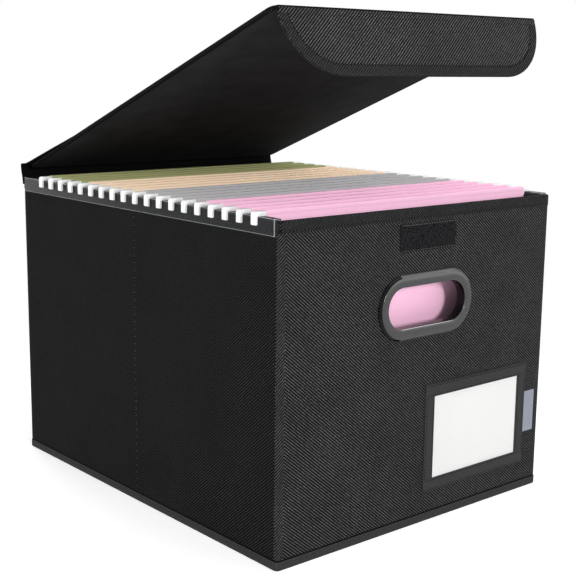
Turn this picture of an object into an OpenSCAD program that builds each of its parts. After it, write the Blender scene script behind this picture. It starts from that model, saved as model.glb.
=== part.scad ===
// Portable file box: a fabric-covered board box with a hinged lid, two clear rails
// over its side walls, and hanging folders that slide along the rails.
//
// Frame: X runs along the front wall, Y from the front wall to the back wall, Z up.
// The origin is the middle of the base, on the surface that the box stands on.

/* [Box] */
// Outside width of the walls
box_w = 312; // [280:1:340]
// Outside depth of the walls
box_d = 384; // [345:1:420]
// Height of the walls
box_h = 268; // [242:1:300]
// Thickness of a wall: board with fabric on both sides
wall_t = 4; // [3:0.5:5]
// Outside radius of the upright corners
corner_r = 3; // [1:0.5:3]
// Depth of the groove where the halves of a side wall fold
crease = 1; // [0.5:0.25:1.5]

/* [Base] */
// Thickness of the base panel
base_t = 4; // [3:0.5:6]
// Thickness of the loose board that stiffens the base
board_t = 3; // [2:0.5:5]
// Gap between the loose board and the walls
board_gap = 1.5; // [0.5:0.5:4]
// Height of the binding round the foot of the walls
binding_h = 7; // [5:0.5:12]
// Thickness of that binding
binding_t = 0.6; // [0.4:0.1:1.2]

/* [Rails] */
// Thickness of a rail's legs
rail_leg_t = 1.2; // [0.8:0.1:1.6]
// Thickness of a rail over the wall's top edge
rail_web_t = 1.5; // [1:0.1:2.5]
// How far the outer leg reaches down from the wall's top edge
rail_outer_leg = 11.3; // [8:0.1:16]
// How far the inner leg reaches down
rail_inner_leg = 7; // [5:0.5:12]
// Gap between a rail's leg and the wall
rail_fit = 0.2; // [0.1:0.05:0.4]
// Gap between a rail's end and the front or back wall
rail_end_gap = 1; // [0.5:0.5:4]

/* [Handles] */
// Width of the finger slot
finger_w = 90; // [80:1:100]
// Height of the finger slot
finger_h = 34; // [28:1:38]
// Distance from the wall's top edge to the slot's middle
handle_down = 79.5; // [76:0.5:90]
// Width of the bezel round the slot
bezel_w = 9.75; // [8:0.25:11]
// How far the bezel stands out from the wall
bezel_t = 3; // [2.5:0.25:4]
// Width of the bevel round the outside of the bezel
bevel = 2; // [1:0.25:2.5]
// Wall of the sleeve that passes through the box's wall
sleeve_t = 2; // [1.5:0.25:3]
// Thickness of the ring that snaps on the sleeve from inside
ring_t = 2.2; // [1.5:0.1:3]
// Gap round the sleeve
sleeve_fit = 0.3; // [0.2:0.05:0.5]

/* [Fastening patches] */
// Width of each hook-and-loop patch
patch_w = 65; // [50:1:90]
// Height of each patch
patch_h = 22.5; // [16:0.5:26]
// Distance from the wall's top edge to the patch
patch_down = 12; // [10:0.5:15]
// Thickness of the patch on the box
box_patch_t = 1.8; // [1:0.1:2.5]
// Thickness of the patch in the flap
flap_patch_t = 1.7; // [1:0.1:2.5]
// Gap between the two patches when the lid is shut
patch_gap = 0.3; // [0.2:0.05:1]

/* [Label pocket] */
// Width of the ribbon frame
label_w = 130; // [110:1:140]
// Height of the ribbon frame
label_h = 93.5; // [80:0.5:96]
// Width of the ribbon
ribbon_w = 11; // [8:0.5:14]
// Thickness of the ribbon where it stands over the card
ribbon_t = 1.5; // [1.3:0.1:2.5]
// Distance from the wall's right edge to the frame
label_side = 23.3; // [18:0.5:26]
// Height of the frame's lower edge above the ground
label_z = 26; // [12:0.5:32]
// Thickness of the card
label_card_t = 0.5; // [0.3:0.1:0.6]
// How far the card reaches under the ribbon on each side
card_under = 3; // [2:0.25:4]
// Gap round the card in its pocket
card_fit = 0.15; // [0.1:0.05:0.25]
// How far the side tag stands out from the frame
tag_w = 14.3; // [8:0.1:16]
// Height of the side tag
tag_h = 37.5; // [20:0.5:50]
// Thickness of the folded tag
tag_t = 0.9; // [0.6:0.1:1.2]

/* [Lid] */
// Angle that the lid stands open
lid_open = 21; // [0:1:60]
// Width of the lid
lid_w = 300; // [280:1:312]
// Thickness of the lid
lid_t = 4; // [3:0.5:5]
// Radius of the lid's rear corners
lid_corner_r = 8; // [2:1:16]
// How far the hinge line lies behind the back wall
hinge_back = 3; // [2.5:0.25:5]
// How far the hinge line lies above the walls
hinge_up = 12; // [12:0.5:16]
// Depth of the lid's top face under the hinge line
lid_under = 0.5; // [0.25:0.05:0.5]
// Distance from the hinge line to the lid's board
lid_root = 3.5; // [3.5:0.25:6]
// Radius of the rolled fold along the hinge line
roll_r = 1.5; // [1.2:0.1:1.8]
// How far the flap reaches below the hinge line when the lid is shut
flap_drop = 53.5; // [48:0.5:60]
// Thickness of the flap
flap_t = 3.5; // [3:0.5:5]
// Distance from the lid's side edge to the flap
flap_side = 4; // [0:0.5:8]
// Radius of the flap's round ends
flap_r = 53; // [20:1:60]

/* [Hinge strip] */
// Thickness of the strip
strip_t = 2; // [1.5:0.25:2.5]
// How far the strip reaches down the back wall
strip_down = 8; // [5:0.5:20]
// Gap between the strip and the rolled fold
strip_fit = 0.3; // [0.2:0.05:0.5]

/* [Folders] */
// Number of hanging folders
folder_count = 19; // [2:1:19]
// Distance from the front wall's inner face to the first folder
folder_start = 22; // [20:0.5:30]
// Distance from the last folder to the back wall's inner face
folder_end = 37.2; // [20:0.1:50]
// Height of a folder
folder_h = 235; // [200:1:240]
// Gap between a folder's card and the side walls
card_side_gap = 3; // [2.5:0.5:6]
// Thickness of the card
card_t = 0.4; // [0.3:0.05:0.5]
// Gap between the two top hems of a folder
hem_gap = 0.4; // [0.3:0.05:0.6]
// Half the width of a folder's bottom fold
fold_r = 1.2; // [0.8:0.1:1.6]
// Thickness of the flat rods
rod_t = 1.2; // [1:0.1:1.4]
// Height of the rods above the rail's top
rod_over = 3.5; // [2.5:0.1:4.5]
// Depth of the rods below the rail's top
rod_below = 3; // [2:0.1:4]
// Gap between a rod and the hem round it
rod_fit = 0.15; // [0.1:0.05:0.2]
// Thickness of a plastic hook
hook_t = 2; // [1.8:0.1:2.1]
// Thickness of a hook's tip, measured along the rod
tip_t = 2.6; // [2:0.1:3.5]
// How far a hook's tip reaches below the rail's top
tip_down = 6.5; // [4:0.1:8]
// Radius of a hook's outer corner
hook_r = 2.4; // [1:0.1:2.4]
// Gap between a hook and the sides of its rail
hook_fit = 0.4; // [0.3:0.05:0.6]

/* [Hidden] */
$fn = 64;

BOX_NODES = [
    "front_wall", "back_wall", "left_wall_front", "left_wall_rear", "right_wall_front",
    "right_wall_rear", "base_panel", "base_board", "base_binding", "left_rail", "right_rail",
    "front_handle", "back_handle", "handle_rings", "box_patch", "label_pocket", "label_card",
    "side_tag", "hinge_strip", "lid_panel", "lid_flap", "flap_patch"
];
function numbered(name, i) = str(name, i < 10 ? "_0" : "_", i);

cut_over = 1;                                   // how far a cut runs past what it cuts
inner_w = box_w - 2 * wall_t;
inner_d = box_d - 2 * wall_t;

rail_top = box_h + rail_web_t;
rail_in = inner_w / 2 - rail_fit - rail_leg_t;  // inner face of a rail, from the middle
rail_out = box_w / 2 + rail_fit + rail_leg_t;   // outer face of a rail
rail_len = inner_d - 2 * rail_end_gap;

handle_z = box_h - handle_down;
finger_straight = finger_w - finger_h;
finger_r = finger_h / 2;
sleeve_r = finger_r + sleeve_t;
bezel_r = finger_r + bezel_w;
bezel_edge = 0.9;                               // upright edge of the bezel at the wall
lip = 0.6;                                      // small bevel at the mouth of the slot
sleeve_len = wall_t + ring_t;

patch_z = box_h - patch_down - patch_h / 2;
patch_corner = 2;
flap_gap = box_patch_t + flap_patch_t + patch_gap;

window_w = label_w - 2 * ribbon_w;
window_h = label_h - 2 * ribbon_w;
label_x = box_w / 2 - label_side - label_w / 2;
label_mid_z = label_z + label_h / 2;
label_card_w = window_w + 2 * card_under;
label_card_h = window_h + 2 * card_under;
pocket_depth = label_card_t + 2 * card_fit;
label_corner = 1.5;
tag_mid_z = label_mid_z;
tag_clear = 0.3;

hinge_y = box_d / 2 + hinge_back;
hinge_z = box_h + hinge_up;
lid_top = hinge_z - lid_under;
lid_base = lid_top - lid_t;
lid_web_t = 1;
flap_in = -box_d / 2 - flap_gap;                // inner face of the flap when the lid is shut
flap_out = flap_in - flap_t;
flap_clear = 0.3;

strip_out = hinge_back + strip_t / 2;
strip_in = hinge_back - strip_t / 2;
strip_top = hinge_z - roll_r - strip_fit;
strip_bend = 4;                                 // height over which the strip leans back

folder_pitch = (inner_d - folder_start - folder_end) / (folder_count - 1);
card_w = inner_w - 2 * card_side_gap;
hem_t = rod_t + 2 * (card_t + rod_fit);
hem_top = rail_top + rod_over + rod_fit + card_t;
hem_base = rail_top - rod_below - rod_fit - card_t;
hem_out = hem_gap / 2 + hem_t;
rod_y = hem_gap / 2 + hem_t / 2;
fold_z = hem_top - folder_h + fold_r;
hook_out = rail_out + hook_fit + tip_t;
rod_half = card_w / 2 + 0.5;                    // from the middle to where a rod ends in its hook
hook_gap = 0.2;                                 // between the two hooks at one end of a folder
hook_tip_r = 0.9;

black_cloth = [0.13, 0.13, 0.14];
black_plastic = [0.06, 0.06, 0.07];
clear_plastic = [0.85, 0.88, 0.9, 0.35];

// ---- Shared shapes ----

// Rectangle with round corners, centred
module round_rect(size, r) {
    square([size[0] - 2 * r, size[1]], center = true);
    square([size[0], size[1] - 2 * r], center = true);
    for (x = [-1, 1], y = [-1, 1])
        translate([x * (size[0] / 2 - r), y * (size[1] / 2 - r)]) circle(r);
}

// Slot outline with round ends: straight middle and end radius
module slot_outline(straight, r) {
    square([straight, 2 * r], center = true);
    for (x = [-1, 1]) translate([x * straight / 2, 0]) circle(r);
}

// Profile swept round a slot outline: x is the distance from the slot's middle line
module slot_sweep(straight, profile) {
    for (side = [0, 180])
        rotate([0, 0, side]) {
            translate([straight / 2, 0, 0]) rotate([0, 0, -90])
                rotate_extrude(angle = 180) polygon(profile);
            translate([-straight / 2, 0, 0]) rotate([90, 0, 90])
                linear_extrude(straight) polygon(profile);
        }
}

// Children drawn in Y and Z, run along X and centred
module along_x(length) {
    translate([-length / 2, 0, 0]) rotate([90, 0, 90]) linear_extrude(length) children();
}

// Children drawn on a wall's outer face, with Z pointing away from the box
module on_wall(side) {
    translate([0, side * box_d / 2, 0]) rotate([90, 0, side < 0 ? 0 : 180]) children();
}

// Children placed as on the shut lid, turned to where the lid stands open
module on_lid() {
    translate([0, hinge_y, hinge_z]) rotate([-lid_open, 0, 0])
        translate([0, -hinge_y, -hinge_z]) children();
}

// ---- Walls and base ----

module end_wall(side) {
    color(black_cloth) difference() {
        linear_extrude(box_h) translate([0, side * (box_d / 2 - wall_t)]) intersection() {
            round_rect([box_w, 2 * wall_t], corner_r);
            translate([-box_w / 2, side < 0 ? -wall_t : 0]) square([box_w, wall_t]);
        }
        on_wall(side) translate([0, handle_z, -wall_t - cut_over])
            linear_extrude(wall_t + 2 * cut_over)
                slot_outline(finger_straight, sleeve_r + sleeve_fit);
    }
}

// Half of a side wall, with its outer edge bevelled at the fold
module half_wall(side, end) {
    half = inner_d / 2;
    color(black_cloth) scale([side, end, 1]) linear_extrude(box_h)
        polygon([
            [inner_w / 2, 0], [box_w / 2 - crease, 0], [box_w / 2, crease],
            [box_w / 2, half], [inner_w / 2, half]
        ]);
}

module base_panel() {
    color(black_cloth) translate([-inner_w / 2, -inner_d / 2, 0]) cube([inner_w, inner_d, base_t]);
}

module base_board() {
    color([0.2, 0.2, 0.21]) translate([0, 0, base_t]) linear_extrude(board_t)
        square([inner_w - 2 * board_gap, inner_d - 2 * board_gap], center = true);
}

module base_binding() {
    color(black_cloth) linear_extrude(binding_h) difference() {
        round_rect([box_w + 2 * binding_t, box_d + 2 * binding_t], corner_r + binding_t);
        round_rect([box_w, box_d], corner_r);
    }
}

// ---- Rails ----

module rail(side) {
    wall_in = inner_w / 2 - rail_fit;
    wall_out = box_w / 2 + rail_fit;
    color(clear_plastic) translate([0, rail_len / 2, 0]) rotate([90, 0, 0])
        linear_extrude(rail_len) scale([side, 1]) difference() {
            translate([rail_in, box_h - rail_outer_leg])
                square([rail_out - rail_in, rail_outer_leg + rail_web_t]);
            translate([wall_in, box_h - rail_outer_leg - cut_over])
                square([wall_out - wall_in, rail_outer_leg + cut_over]);
            translate([rail_in - cut_over, box_h - rail_outer_leg - cut_over])
                square([rail_leg_t + 2 * cut_over, rail_outer_leg - rail_inner_leg + cut_over]);
        }
}

// ---- Handles ----

module handle(side) {
    color(black_plastic) on_wall(side) translate([0, handle_z, 0])
        slot_sweep(finger_straight, [
            [finger_r, -sleeve_len], [sleeve_r, -sleeve_len], [sleeve_r, 0], [bezel_r, 0],
            [bezel_r, bezel_edge], [bezel_r - bevel, bezel_t], [finger_r + lip, bezel_t],
            [finger_r, bezel_t - lip]
        ]);
}

module handle_rings() {
    ring_in = sleeve_r + sleeve_fit;
    ring_out = bezel_r - ring_t / 2;
    color(black_plastic) for (side = [-1, 1])
        on_wall(side) translate([0, handle_z, -wall_t])
            slot_sweep(finger_straight, [
                [ring_in, 0], [ring_in, -ring_t], [ring_out - ring_t / 2, -ring_t],
                [ring_out, -ring_t / 2], [ring_out, 0]
            ]);
}

// ---- Fastening patches ----

module box_patch() {
    color([0.09, 0.09, 0.09]) on_wall(-1) translate([0, patch_z, 0])
        linear_extrude(box_patch_t) round_rect([patch_w, patch_h], patch_corner);
}

module flap_patch() {
    color([0.09, 0.09, 0.09]) on_lid() translate([0, flap_in, patch_z]) rotate([-90, 0, 0])
        linear_extrude(flap_patch_t) round_rect([patch_w, patch_h], patch_corner);
}

// ---- Label pocket ----

module label_pocket() {
    slot_w = label_card_w + 2 * card_fit;
    slot_h = label_h - ribbon_w + card_under;
    color([0.1, 0.1, 0.11]) on_wall(-1) translate([label_x, label_mid_z, 0]) difference() {
        linear_extrude(ribbon_t) round_rect([label_w, label_h], label_corner);
        translate([0, 0, -cut_over]) linear_extrude(ribbon_t + 2 * cut_over)
            square([window_w, window_h], center = true);
        translate([-slot_w / 2, -window_h / 2 - card_under, -cut_over])
            cube([slot_w, slot_h + cut_over, pocket_depth + cut_over]);
    }
}

module label_card() {
    color("white") on_wall(-1) translate([label_x, label_mid_z, card_fit])
        linear_extrude(label_card_t) square([label_card_w, label_card_h], center = true);
}

module side_tag() {
    tag_x = label_x + label_w / 2;
    color([0.42, 0.46, 0.52]) on_wall(-1) translate([tag_x, tag_mid_z - tag_h / 2, tag_clear])
        translate([0, tag_h, 0]) rotate([90, 0, 0]) linear_extrude(tag_h) {
            square([tag_w - tag_t / 2, tag_t]);
            translate([tag_w - tag_t / 2, tag_t / 2]) circle(tag_t / 2);
        }
}

// ---- Lid ----

module hinge_strip() {
    color(black_cloth) translate([0, box_d / 2, 0]) along_x(box_w - 2 * corner_r)
        polygon([
            [0, box_h - strip_down], [strip_t, box_h - strip_down], [strip_t, box_h],
            [strip_out, box_h + strip_bend], [strip_out, strip_top], [strip_in, strip_top],
            [strip_in, box_h + strip_bend], [0, box_h]
        ]);
}

module lid_panel() {
    lid_end = hinge_y - lid_root;
    color(black_cloth) on_lid() {
        translate([0, 0, lid_base]) linear_extrude(lid_t) intersection() {
            translate([0, lid_end - (box_d + lid_corner_r)])
                round_rect([lid_w, 2 * (box_d + lid_corner_r)], lid_corner_r);
            translate([-lid_w / 2, flap_out]) square([lid_w, lid_end - flap_out]);
        }
        translate([-lid_w / 2 + lid_corner_r, lid_end - cut_over, lid_top - lid_web_t])
            cube([lid_w - 2 * lid_corner_r, lid_root + cut_over, lid_web_t]);
        translate([0, hinge_y, hinge_z]) rotate([0, 90, 0])
            cylinder(h = lid_w - 2 * lid_corner_r, r = roll_r, center = true);
    }
}

module lid_flap() {
    flap_end = hinge_z - flap_drop;
    flap_h = lid_base - flap_clear - flap_end;
    flap_w = lid_w - 2 * flap_side;
    round_x = flap_w / 2 - flap_r;
    color(black_cloth) on_lid() translate([0, flap_in, flap_end]) rotate([90, 0, 0])
        linear_extrude(flap_t) intersection() {
            union() {
                translate([-round_x, 0]) square([2 * round_x, flap_h]);
                translate([-flap_w / 2, flap_r]) square([flap_w, flap_h]);
                for (x = [-1, 1]) translate([x * round_x, flap_r]) circle(flap_r, $fn = 128);
            }
            translate([-flap_w / 2, 0]) square([flap_w, flap_h]);
        }
}

// ---- Hanging folders ----

module at_folder(i) {
    translate([0, -inner_d / 2 + folder_start + (i - 1) * folder_pitch, 0]) children();
}

function folder_colour(i) =
    i <= 5 ? [0.95, 0.72, 0.82] :
    i <= 10 ? [0.62, 0.62, 0.63] :
    i <= 15 ? [0.97, 0.85, 0.74] : [0.58, 0.59, 0.38];

// Half of the card's profile in Y and Z: the hem round a rod, and the leaf below it
module leaf_profile() {
    translate([hem_gap / 2 + hem_t / 2, (hem_top + hem_base) / 2]) difference() {
        round_rect([hem_t, hem_top - hem_base], card_t);
        square([hem_t - 2 * card_t, hem_top - hem_base - 2 * card_t], center = true);
    }
    polygon([
        [hem_out, hem_base + card_t], [hem_out - card_t, hem_base + card_t],
        [fold_r - card_t, fold_z], [fold_r, fold_z]
    ]);
}

module folder(i) {
    color(folder_colour(i)) at_folder(i) along_x(card_w) {
        for (side = [0, 1]) mirror([side, 0]) leaf_profile();
        translate([0, fold_z]) intersection() {
            difference() {
                circle(fold_r);
                circle(fold_r - card_t);
            }
            translate([-fold_r, -fold_r]) square([2 * fold_r, fold_r]);
        }
    }
}

// Outline of the hook at the right end of a rod, in X and Z
module hook_outline() {
    start = card_w / 2 + rod_fit;
    top = rail_top + rod_over;
    difference() {
        union() {
            translate([start, rail_top - rod_below])
                square([hook_out - hook_r - start, rod_below + rod_over]);
            translate([hook_out - hook_r, top - hook_r]) circle(hook_r);
            translate([hook_out - tip_t, rail_top - tip_down + hook_tip_r])
                square([tip_t, tip_down + rod_over - hook_r - hook_tip_r]);
            translate([hook_out - tip_t / 2, rail_top - tip_down + hook_tip_r])
                slot_outline(tip_t - 2 * hook_tip_r, hook_tip_r);
        }
        translate([rail_in - hook_fit, rail_top - tip_down - cut_over])
            square([rail_out - rail_in + 2 * hook_fit, tip_down + cut_over]);
    }
}

module hangers(i) {
    color("white") at_folder(i) for (side = [0, 1]) mirror([0, side, 0]) {
        translate([-rod_half, rod_y - rod_t / 2, rail_top - rod_below])
            cube([2 * rod_half, rod_t, rod_below + rod_over]);
        for (end = [0, 1]) mirror([end, 0, 0])
            translate([0, hook_gap / 2 + hook_t, 0]) rotate([90, 0, 0])
                linear_extrude(hook_t) hook_outline();
    }
}

// ---- The parts ----

end_wall(-1);  // front_wall
end_wall(1);  // back_wall
half_wall(-1, -1);  // left_wall_front
half_wall(-1, 1);  // left_wall_rear
half_wall(1, -1);  // right_wall_front
half_wall(1, 1);  // right_wall_rear
base_panel();
base_board();
base_binding();
rail(-1);  // left_rail
rail(1);  // right_rail
handle(-1);  // front_handle
handle(1);  // back_handle
handle_rings();
box_patch();
label_pocket();
label_card();
side_tag();
hinge_strip();
lid_panel();
lid_flap();
flap_patch();
for (i = [1:folder_count]) {
    folder(i);
    hangers(i);
}
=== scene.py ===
import bpy
import bmesh
import math
import random
from mathutils import Matrix, Quaternion, Vector


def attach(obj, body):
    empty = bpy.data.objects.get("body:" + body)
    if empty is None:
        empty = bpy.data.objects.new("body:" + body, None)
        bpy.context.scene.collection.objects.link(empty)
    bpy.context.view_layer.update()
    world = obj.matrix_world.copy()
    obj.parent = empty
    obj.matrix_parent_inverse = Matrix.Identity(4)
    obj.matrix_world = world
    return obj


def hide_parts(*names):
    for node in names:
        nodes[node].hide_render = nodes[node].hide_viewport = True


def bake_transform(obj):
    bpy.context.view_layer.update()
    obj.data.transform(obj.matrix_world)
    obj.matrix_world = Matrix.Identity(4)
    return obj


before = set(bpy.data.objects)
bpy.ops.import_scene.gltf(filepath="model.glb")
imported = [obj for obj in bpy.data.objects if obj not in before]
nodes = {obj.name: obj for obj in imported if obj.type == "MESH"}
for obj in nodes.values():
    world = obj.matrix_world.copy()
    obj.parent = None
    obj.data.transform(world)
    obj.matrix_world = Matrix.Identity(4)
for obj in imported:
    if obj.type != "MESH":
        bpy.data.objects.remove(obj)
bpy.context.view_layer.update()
scene = bpy.context.scene
mm = 0.001
print("frame loaded:", len(nodes), "nodes")

# the camera, placed from the corners of the box in the photograph
shot = {"place": (-691.9, -827.8, 379.4), "azimuth": -40.55, "elevation": 10.86, "roll": 0.70,
        "lens": 73.07, "sensor": 36, "near": 0.05, "far": 50}


def lookBack(azimuth, elevation):  # from the subject towards the eye
    a, e = math.radians(azimuth), math.radians(elevation)
    return Vector((math.sin(a) * math.cos(e), -math.cos(a) * math.cos(e), math.sin(e)))


lens = bpy.data.cameras.new("shotLens")
lens.lens, lens.sensor_width = shot["lens"], shot["sensor"]
lens.clip_start, lens.clip_end = shot["near"], shot["far"]
eye = bpy.data.objects.new("shotCamera", lens)
eye.location = Vector(shot["place"]) * mm
eye.rotation_mode = "QUATERNION"
eye.rotation_quaternion = (-lookBack(shot["azimuth"], shot["elevation"])).to_track_quat("-Z", "Y") \
    @ Quaternion((0, 0, 1), math.radians(shot["roll"]))
scene.collection.objects.link(eye)
scene.camera = eye

# the box and the lid as they are in the frame, in mm; the lid's sizes are for the closed lid
box = {"width": 312, "depth": 384, "height": 268, "wall": 4, "corner": 3, "foot": 7}
lid = {"open": 21, "hingeY": 195, "hingeZ": 280, "width": 300, "top": 279.5, "board": 4,
       "front": -199.3, "rear": 191.5, "frontCorner": 7, "rearCorner": 8, "tapeInside": 2.8}
halfW, halfD = box["width"] / 2, box["depth"] / 2
hingePoint = Vector((0, lid["hingeY"], lid["hingeZ"])) * mm
lidTurn = Matrix.Translation(hingePoint) @ Matrix.Rotation(-math.radians(lid["open"]), 4, "X") \
    @ Matrix.Translation(-hingePoint)
lidBack = lidTurn.to_3x3() @ Vector((0, 1, 0))
lidUp = lidTurn.to_3x3() @ Vector((0, 0, 1))


def ink(red, green, blue):  # a colour as a paint program shows it
    return tuple((c / 255 / 12.92) if c < 11 else ((c / 255 + 0.055) / 1.055) ** 2.4
                 for c in (red, green, blue)) + (1,)


def shade(tone, factor):  # the same colour, darker or lighter
    return ink(*[min(c * factor, 255) for c in tone])


def soot(level):  # a grey with a touch of blue, as all the black cloth has
    return ink(level, level, level + 1)


class Wire:  # one output socket, which can be used in sums
    def __init__(self, owner, socket):
        self.owner, self.socket = owner, socket

    def sum(self, operation, *values):
        return self.owner.add("ShaderNodeMath", {"operation": operation}, dict(enumerate(values)))

    def __add__(self, other): return self.sum("ADD", self, other)
    def __radd__(self, other): return self.sum("ADD", other, self)
    def __sub__(self, other): return self.sum("SUBTRACT", self, other)
    def __rsub__(self, other): return self.sum("SUBTRACT", other, self)
    def __mul__(self, other): return self.sum("MULTIPLY", self, other)
    def __rmul__(self, other): return self.sum("MULTIPLY", other, self)
    def __pow__(self, other): return self.sum("POWER", self, other)
    def floor(self): return self.sum("FLOOR", self)
    def sine(self): return self.sum("SINE", self)
    def size(self): return self.sum("ABSOLUTE", self)
    def most(self, other): return self.sum("MAXIMUM", self, other)
    def least(self, other): return self.sum("MINIMUM", self, other)

    def step(self, low, high):  # 0 below low, 1 above high, even between
        return self.owner.add("ShaderNodeMapRange", {},
                              {"Value": self, "From Min": low, "From Max": high})


class Nodes:  # a tree of nodes, and the usual ways to add to it
    def __init__(self, tree):
        self.tree = tree

    def add(self, kind, settings=None, sockets=None, out=0):
        node = self.tree.nodes.new(kind)
        for key, value in (settings or {}).items():
            setattr(node, key, value)
        for key, value in (sockets or {}).items():
            if isinstance(value, Wire):
                self.tree.links.new(value.socket, node.inputs[key])
            else:
                node.inputs[key].default_value = value
        return Wire(self, node.outputs[out]) if node.outputs else None

    def place(self):
        return self.add("ShaderNodeTexCoord", out="Object")

    def along(self, place, direction):  # how far along a direction, as a number
        return self.add("ShaderNodeVectorMath", {"operation": "DOT_PRODUCT"},
                        {0: place, 1: tuple(direction)}, out="Value")

    def ribs(self, place, direction, pitch):  # even waves from 0 to 1, pitch in mm
        return (self.along(place, Vector(direction) * (2 * math.pi / (pitch * mm))).sine() + 1) * 0.5

    def noise(self, place, size, detail=2, roughness=0.5):  # size of the largest cloud, in mm
        return self.add("ShaderNodeTexNoise", {}, {"Vector": place, "Scale": 1 / (size * mm),
                                                   "Detail": detail, "Roughness": roughness})

    def blend(self, factor, first, second):
        return self.add("ShaderNodeMix", {"data_type": "RGBA"}, {0: factor, 6: first, 7: second}, out=2)


class Finish(Nodes):  # a material with one shader, and what feeds it
    def __init__(self, name, shader):
        self.material = bpy.data.materials.new(name)
        self.material.use_nodes = True
        super().__init__(self.material.node_tree)
        self.shader = self.tree.nodes["Principled BSDF"]
        for socket, value in shader.items():
            self.shader.inputs[socket].default_value = value

    def feed(self, socket, wire):
        self.tree.links.new(wire.socket, self.shader.inputs[socket])

    def bump(self, height, depth, strength):  # depth in mm
        self.feed("Normal", self.add("ShaderNodeBump", {}, {"Strength": strength, "Distance": depth * mm,
                                                            "Height": height}))


# sizes in mm; each yarn goes over two and under two, so the pattern repeats after four
weave = {"repeat": 4, "sharpness": 2.1, "slub": 2.2, "cloud": 34, "rough": 0.8, "bump": 0.22,
         "seamLow": box["foot"] + 0.9, "seamHigh": box["foot"] + 1.9}


def wovenCloth(name, across, up, yarn, dark, light, foot=False, lap=None):
    f = Finish(name, {"Specular IOR Level": 0.03})
    place = f.place()
    wide, tall = yarn[0] * mm, yarn[1] * mm
    if lap is None:
        a = f.along(place, Vector(across) / wide)
    else:  # the twill turns back where one cloth laps over the next
        a = (f.along(place, (across[0] / wide, 0, 0)) - lap / yarn[0]).size() \
            + f.along(place, (0, across[1] / wide, 0))
    b = f.along(place, Vector(up) / tall)
    column, row = a.floor(), b.floor()
    inA, inB = a - column, b - row
    turn = 2 * math.pi / weave["repeat"]
    warp = inA * (1 - inA) * 4 * ((b + column) * turn).sine()
    weft = inB * (1 - inB) * -4 * ((a + row) * turn).sine()
    slub = f.noise(place, weave["slub"], 3, 0.7)
    cloud = f.noise(place, weave["cloud"])
    # partly the weave's own pattern, partly painted sheen: the floats are coloured lighter where black yarn
    # catches light
    shine = (warp.most(0) ** weave["sharpness"]) * (slub * 1.5 - 0.1) + weft.most(0) * 0.05
    colour = f.blend((shine * (0.75 + cloud * 0.5)).least(1), dark, light)
    if foot:  # the seam above the foot tape lies in shade
        height = f.along(place, (0, 0, 1 / mm))
        colour = f.blend(height.step(weave["seamLow"], weave["seamHigh"]), soot(9), colour)
    f.feed("Base Color", colour)
    f.feed("Roughness", weave["rough"] + slub * 0.12)
    f.bump(warp.most(weft), weave["bump"], 0.7)
    return f.material


felt = {"cloud": 26, "fibre": 0.9, "dark": 0.72, "light": 1.25, "bump": 0.3}


def feltLining(name, tone):  # pressed lining, not woven, with faint clouds
    f = Finish(name, {"Specular IOR Level": 0.06})
    place = f.place()
    cloud = f.noise(place, felt["cloud"], 4, 0.6)
    fibre = f.noise(place, felt["fibre"], 3, 0.8)
    lift = (cloud * 0.55 + fibre * 0.45).step(0.3, 0.75)
    f.feed("Base Color", f.blend(lift, shade(tone, felt["dark"]), shade(tone, felt["light"])))
    f.feed("Roughness", 0.82 + fibre * 0.15)
    f.bump(fibre * 0.6 + cloud, felt["bump"], 0.5)
    return f.material


tape = {"rib": 0.95, "yarn": 0.7, "fuzz": 1.6, "dark": 0.55, "light": 1.4, "bump": 0.14}


def sewnTape(name, across, up, tone):  # narrow binding or ribbon with fine cross ribs
    f = Finish(name, {"Specular IOR Level": 0.07})
    place = f.place()
    ribs = f.ribs(place, up, tape["rib"])
    yarns = f.ribs(place, across, tape["yarn"])
    fuzz = f.noise(place, tape["fuzz"], 3, 0.7)
    lift = (ribs * 0.35 + yarns * 0.2 + fuzz * 0.6).step(0.25, 0.9)
    f.feed("Base Color", f.blend(lift, shade(tone, tape["dark"]), shade(tone, tape["light"])))
    f.feed("Roughness", 0.62 + fuzz * 0.2)
    f.bump(ribs * 0.5 + yarns * 0.3 + fuzz * 0.4, tape["bump"], 0.6)
    return f.material


moulding = {"haze": 18, "grain": 0.7, "dark": 0.93, "light": 1.04}


def mouldedPlastic(name, tone, rough, grain=0.02, level=0.5):  # grain is the bump's depth, in mm
    f = Finish(name, {"Specular IOR Level": level})
    place = f.place()
    haze = f.noise(place, moulding["haze"], 3)
    fine = f.noise(place, moulding["grain"])
    f.feed("Base Color", f.blend(haze, shade(tone, moulding["dark"]), shade(tone, moulding["light"])))
    f.feed("Roughness", rough + haze * 0.06 + fine * 0.03)
    if grain:
        f.bump(fine, grain, 0.3)
    return f.material


clear = {"haze": 22, "dark": 0.9, "level": 0.14}


def clearPlastic(name, tone, alpha, rough):
    f = Finish(name, {"Specular IOR Level": clear["level"], "Alpha": alpha})
    haze = f.noise(f.place(), clear["haze"], 3)
    f.feed("Base Color", f.blend(haze, shade(tone, clear["dark"]), ink(*tone)))
    f.feed("Roughness", rough + haze * 0.1)
    return f.material


# each line is a height, and how far from it the line is full and gone; the one under the rod is a crease with
# painted shade, the one over it painted shade
paper = {"fibre": 0.8, "cloud": 45, "dark": 0.98, "light": 1.02, "bump": 0.02, "crease": 0.2,
         "creaseTone": 0.75, "underRod": (265.6, 0.15, 0.75), "overRodShade": (270.4, 0.35, 0.9)}


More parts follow.
